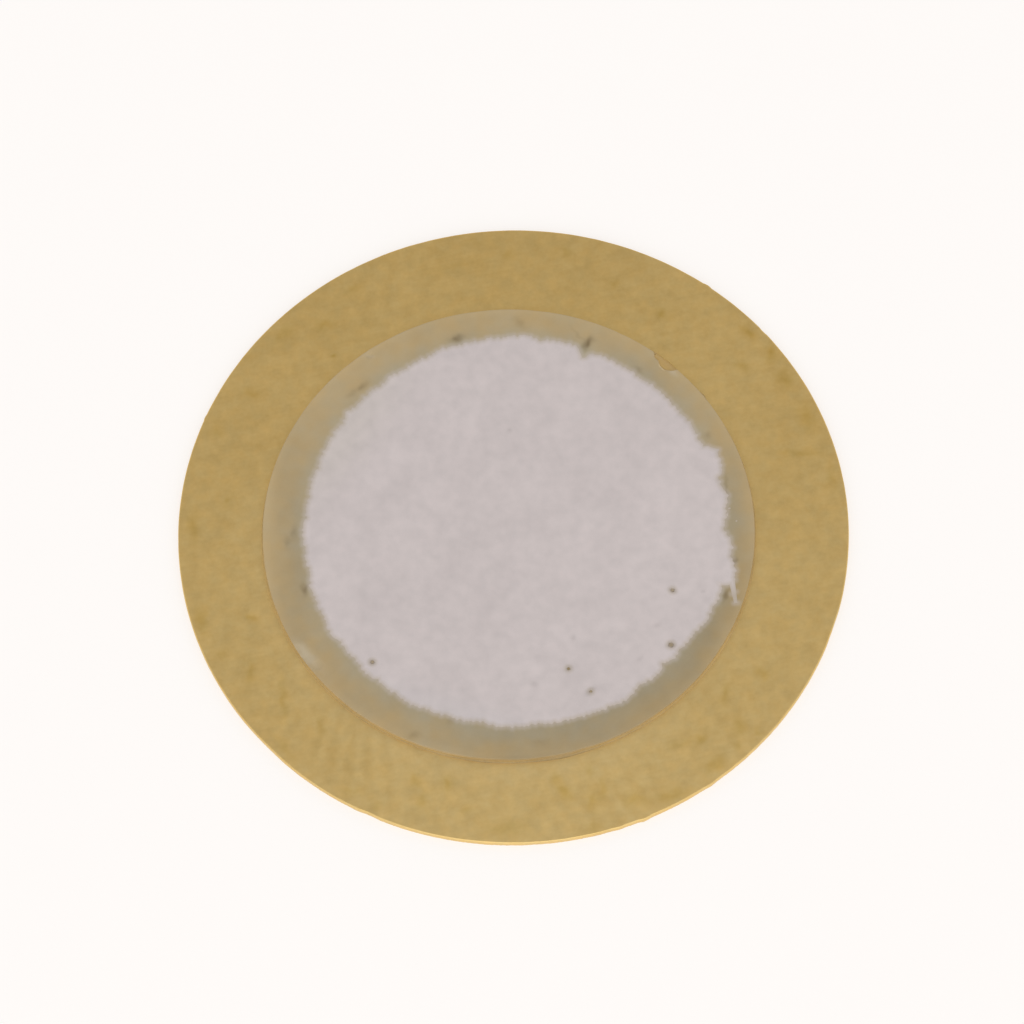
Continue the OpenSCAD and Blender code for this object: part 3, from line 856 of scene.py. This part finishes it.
def ceramic_finish(s):
    """Fired ceramic: mottled tan, greyer beside the print, darker towards one side, with stains and fresh breaks; its
    side wall and the chip's wall are painted lighter, as painted light.
    """
    material, w, shader, position = new_finish("fired_ceramic")
    ragged = wavering(w, position, 0.3, 0.2)
    grain = w.effect("Speckle", position, size=0.12, contrast=1.4)
    mottle = w.effect("Speckle", position, size=0.8, contrast=1.8)
    shade = w.effect("Ring", ragged, place=PRINT_AT, radius=PRINT_R, width=1.9)
    dusk = w.effect("Patch", position, place=(5.5, -9.0), angle=-30, long=9.0, wide=6.0)
    edge = w.effect("Ring", position, place=CERAMIC_AT, radius=CERAMIC_R, width=0.8)
    tint = w.effect("Speckle", w.vector("ADD", position, (40, 0, 0)), size=0.8, contrast=2.2)
    level = w.add("ShaderNodeSeparateXYZ", {0: position}).outputs[2]
    # Painted light: the ceramic's side wall, which lies in shade, is painted lighter.
    side = w.remap(level, CERAMIC_TOP - 0.09, CERAMIC_TOP - 0.06, 1.0, 0.0)
    # Painted light: the chip's steep wall, dark in shade, is painted lighter.
    chip = w.effect("Patch", position, place=CERAMIC_AT + polar(CERAMIC_R - 0.1, 48),
                   long=0.6, wide=0.6)
    wall = w.math("MULTIPLY", chip, w.remap(level, CERAMIC_TOP - 0.02, CERAMIC_TOP - 0.01, 1.0, 0.0))
    front = w.effect("Patch", position, place=(1.5, -9.1), long=7.0, wide=0.35)
    cool = w.math("MULTIPLY_ADD", shade, 0.9, w.math("MULTIPLY", w.math("SUBTRACT", mottle, 0.5), 0.4))
    base = w.mix(w.math("MULTIPLY_ADD", front, 0.35, cool), colour4(s.colour), colour4(s.cool))
    tone = tones(w, (grain, 0.5, 0.03), (mottle, 0.5, 0.08), (dusk, 0.0, -0.17), (edge, 0.0, 0.05),
                 (side, 0.0, 0.1), (wall, 0.0, 0.35), (patches(w, position, CERAMIC_CLOUDS), 0.0, 1.0))
    base = w.group(effect("Tint"), colour=w.vector("SCALE", base, tone), mask=tint, amount=0.03)
    base = w.mix(patches(w, ragged, CERAMIC_BREAKS), base, colour4(s.fresh))
    base = bleed(w, base, (0.62, 0.56, 0.54))
    base = w.mix(patches(w, ragged, CERAMIC_STAINS), base, colour4(s.stain))
    rough = w.math("MULTIPLY_ADD", mottle, 0.14, 0.51)
    join(w, shader, base, rough, grain, (0.3, 0.004))
    shader.inputs["Specular IOR Level"].default_value = 0.4
    return material


# Specks in the silver, in the same order of values as the brass stains
SILVER_SPECKS = [
    ((-5.78, -5.64), 0.10, 0.09, 0, 0.4), ((6.31, -2.9), 0.13, 0.09, 150, 0.34), ((6.16, -5.28), 0.14, 0.12, 30, 0.4),
    ((2.04, -6.18), 0.12, 0.1, 60, 0.25), ((2.9, -7.19), 0.2, 0.1, 30, 0.25), ((5.62, -4.43), 0.15, 0.12, 0, 0.14),
    ((0.66, -6.83), 0.13, 0.11, 0, 0.13), ((2.25, -4.86), 0.1, 0.1, 0, 0.13), ((7.52, -3.01), 0.08, 0.07, 0, 0.12),
    ((4.88, -5.82), 0.2, 0.08, 40, 0.08), ((-0.05, 4.35), 0.1, 0.08, 0, 0.14),
]


def silver_finish(s):
    """Fired silver print: pale, fine-grained, faintly mottled, yellowish at one side, with a few dark specks."""
    material, w, shader, position = new_finish("fired_silver")
    ragged = wavering(w, position, 0.3, 0.12)
    grain = w.effect("Speckle", position, size=0.45, contrast=1.6)
    fine = w.effect("Speckle", position, size=0.08, contrast=1.3, detail=0.0)
    cloud = w.effect("Speckle", position, size=1.8, contrast=1.5)
    weave = w.effect("Ridges", position, angle=45, pitch=0.17)
    lobe = w.effect("Patch", ragged, place=(7.2, 0.3), long=1.6, wide=3.6)
    tone = tones(w, (grain, 0.5, 0.10), (fine, 0.5, 0.02), (cloud, 0.5, 0.085), (lobe, 0.0, 0.03))
    base = w.vector("SCALE", s.colour, tone)
    yellow = w.effect("Patch", ragged, place=(-6.6, 4.6), angle=-55, long=3.4, wide=0.9)
    base = w.mix(w.math("MULTIPLY", yellow, 0.10), base, (0.48, 0.48, 0.25, 1))
    blue = w.effect("Patch", ragged, place=(-2.5, -7.9), angle=20, long=5.0, wide=0.5)
    base = w.mix(w.math("MULTIPLY", blue, 0.12), base, (0.56, 0.58, 0.62, 1))
    base = w.mix(patches(w, ragged, SILVER_SPECKS), base, (0.13, 0.11, 0.10, 1))
    tip = w.effect("Patch", position, place=(8.84, -3.3), long=0.25, wide=0.3)
    base = w.mix(w.math("MULTIPLY", tip, 0.4), bleed(w, base, (0.47, 0.39, 0.25)), (0.47, 0.39, 0.25, 1))
    rough = w.math("MULTIPLY_ADD", grain, 0.2, 0.5)
    height = w.math("MULTIPLY_ADD", weave, 0.1, grain)
    join(w, shader, base, rough, height, (0.4, 0.004))
    shader.inputs["Metallic"].default_value = 0.35
    return material


def epoxy_finish(s):
    """Cured epoxy: amber, with painted shade darkening it towards the front, paler over the filled chip."""
    material, w, shader, position = new_finish("cured_epoxy")
    grain = w.effect("Speckle", position, size=0.1, contrast=1.6)
    cloud = w.effect("Speckle", position, size=1.5, contrast=2.2)
    # Painted shade: the front patch darkens the epoxy towards the front, where the light falls more brightly on its
    # slope.
    front = w.effect("Patch", position, place=CERAMIC_AT + (0.0, -10.5), long=7.0, wide=2.0)
    base = w.vector("SCALE", s.colour, tones(w, (grain, 0.5, 0.15), (cloud, 0.5, 0.2), (front, 0.0, -0.24)))
    place = polar(CERAMIC_R - 0.05, 47.9) + CERAMIC_AT
    pale = w.effect("Patch", position, place=place, long=0.45, wide=0.45)
    base = w.mix(w.math("MULTIPLY", pale, 0.8), base, (0.54, 0.355, 0.115, 1))
    rough = w.math("MULTIPLY_ADD", grain, 0.2, 0.32)
    join(w, shader, base, rough, grain, (0.3, 0.004))
    shader.inputs["Coat Weight"].default_value = 0.1
    return material


def floor_finish(s):
    """Plain pale floor with the faintest paper grain."""
    material, w, shader, position = new_finish("pale_floor")
    grain = w.effect("Speckle", position, size=3.0, contrast=1.0)
    base = w.vector("SCALE", s.floor, tones(w, (grain, 0.5, 0.01)))
    join(w, shader, base, 0.9)
    shader.inputs["Emission Color"].default_value = (1.0, 0.975, 0.955, 1.0)
    shader.inputs["Emission Strength"].default_value = s.glow
    material.cycles.emission_sampling = "NONE"
    return material


# ---------------------------------------------------------------- operators


class PIEZO_OT_brass_plate(bpy.types.Operator):
    """Stamp the brass plate, with its rolled edge, burnished band and torn lower edge"""

    bl_idname = "piezo.brass_plate"
    bl_label = "Brass plate"

    def execute(self, context):
        s = context.scene.piezo_plate
        points, faces = closed_skin(plate_rings(s), (0, 0, PLATE_T), (0, 0, 0))
        add_piece("brass_plate_sheet", points, faces, brass_finish(s), "brass_plate")
        return {"FINISHED"}


class PIEZO_OT_epoxy(bpy.types.Operator):
    """Lay the epoxy film, its squeezed-out line and the drop that fills the chip"""

    bl_idname = "piezo.epoxy"
    bl_label = "Epoxy"

    def execute(self, context):
        s = context.scene.piezo_epoxy
        rings = epoxy_rings(s)
        points, faces = closed_skin(rings, (*CERAMIC_AT, FILM_Z), (*CERAMIC_AT, PLATE_T))
        add_piece("epoxy_line", points, faces, epoxy_finish(s), "glue_layer")
        return {"FINISHED"}


class PIEZO_OT_ceramic(bpy.types.Operator):
    """Shape the ceramic disc with its chipped edge"""

    bl_idname = "piezo.ceramic"
    bl_label = "Ceramic disc"

    def execute(self, context):
        s = context.scene.piezo_ceramic
        points, faces = closed_skin(ceramic_rings(s), (*CERAMIC_AT, CERAMIC_TOP), (*CERAMIC_AT, CERAMIC_Z))
        _, from_edge = print_outline()
        near = np.where(points[:, 2] > CERAMIC_TOP - 0.001, np.clip(1 - from_edge(points[:, :2]) / BLEED, 0, 1), 0)
        add_piece("ceramic_body", points, faces, ceramic_finish(s), "ceramic_disc", run=near)
        return {"FINISHED"}


class PIEZO_OT_electrodes(bpy.types.Operator):
    """Print the ragged upper electrode and finish the hidden lower one"""

    bl_idname = "piezo.electrodes"
    bl_label = "Silver electrodes"

    def execute(self, context):
        s = context.scene.piezo_print
        silver = silver_finish(s)
        points, faces, near = add_flecks(*print_mesh(s))
        add_piece("upper_electrode_print", points, faces, silver, "upper_electrode", run=near)
        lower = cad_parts["lower_electrode"].data
        lower.materials.clear()
        lower.materials.append(silver)
        return {"FINISHED"}


class PIEZO_OT_stage(bpy.types.Operator):
    """Set the floor, the soft lights and the camera"""

    bl_idname = "piezo.stage"
    bl_label = "Stage"

    def execute(self, context):
        s, scene = context.scene.piezo_stage, context.scene
        side = 3.0
        mesh = bpy.data.meshes.new("floor")
        corners = [(-side, -side, -2e-5), (side, -side, -2e-5), (side, side, -2e-5), (-side, side, -2e-5)]
        mesh.from_pydata(corners, [], [(0, 1, 2, 3)])
        mesh.materials.append(floor_finish(s))
        floor = bpy.data.objects.new("floor", mesh)
        scene.collection.objects.link(floor)

        world = bpy.data.worlds.new("soft_room")
        world.use_nodes = True
        w = Wiring(world.node_tree)
        upward = w.add("ShaderNodeSeparateXYZ", {0: w.add("ShaderNodeTexCoord").outputs["Generated"]}).outputs[2]
        background = world.node_tree.nodes["Background"]
        background.inputs["Color"].default_value = (1.0, 0.975, 0.955, 1.0)
        strength = w.remap(upward, 0.5, 0.85, s.walls, s.ceiling, smooth=True)
        world.node_tree.links.new(strength, background.inputs["Strength"])
        world.cycles.sampling_method = "NONE"
        scene.world = world

        light = bpy.data.lights.new("front_softbox", "AREA")
        light.energy, light.size, light.color = s.key, 0.8, (1.0, 0.985, 0.965)
        lamp = bpy.data.objects.new("front_softbox", light)
        lamp.location = (0, -0.42, 0.42)
        lamp.rotation_euler = (-lamp.location).to_track_quat("-Z", "Y").to_euler()
        scene.collection.objects.link(lamp)

        camera = bpy.data.cameras.new("camera")
        camera.sensor_width = 36.0
        camera.lens = s.lens
        camera.clip_start, camera.clip_end = 0.01, 10.0
        eye = bpy.data.objects.new("camera", camera)
        # The point at which the camera looks, a little behind the plate's centre
        aim = Vector((-0.032, 0.903, 0.15)) * MM
        back = Vector((0, -math.cos(s.elevation), math.sin(s.elevation)))
        eye.location = aim + back * s.distance
        spin = (-back).to_track_quat("-Z", "Y").to_matrix() @ Matrix.Rotation(-s.roll, 3, "Z")
        eye.rotation_euler = spin.to_euler()
        scene.collection.objects.link(eye)
        scene.camera = eye
        scene.view_settings.view_transform = "Standard"
        return {"FINISHED"}


class VIEW3D_PT_piezo_disc(bpy.types.Panel):
    """Sizes, colours and steps of the piezo disc"""

    bl_label = "Piezo Disc"
    bl_idname = "VIEW3D_PT_piezo_disc"
    bl_space_type = "VIEW_3D"
    bl_region_type = "UI"
    bl_category = "Piezo Disc"

    def draw(self, context):
        for name, group, operator in STEPS:
            column = self.layout.column()
            column.operator(operator)
            for key in group.__annotations__:
                column.prop(getattr(context.scene, name), key)


STEPS = [
    ("piezo_stage", StageSettings, "piezo.stage"),
    ("piezo_plate", PlateSettings, "piezo.brass_plate"),
    ("piezo_epoxy", EpoxySettings, "piezo.epoxy"),
    ("piezo_ceramic", CeramicSettings, "piezo.ceramic"),
    ("piezo_print", PrintSettings, "piezo.electrodes"),
]
CLASSES = [group for _, group, _ in STEPS] + [
    PIEZO_OT_brass_plate, PIEZO_OT_epoxy, PIEZO_OT_ceramic, PIEZO_OT_electrodes, PIEZO_OT_stage, VIEW3D_PT_piezo_disc]


def register():
    for cls in CLASSES:
        bpy.utils.register_class(cls)
    for name, group, _ in STEPS:
        setattr(bpy.types.Scene, name, PointerProperty(type=group))


def unregister():
    for name, _, _ in STEPS:
        delattr(bpy.types.Scene, name)
    for cls in reversed(CLASSES):
        bpy.utils.unregister_class(cls)


def main():
    register()
    bpy.ops.piezo.stage()
    bpy.ops.piezo.brass_plate()
    bpy.ops.piezo.epoxy()
    bpy.ops.piezo.ceramic()
    bpy.ops.piezo.electrodes()


if __name__ == "__main__":
    main()
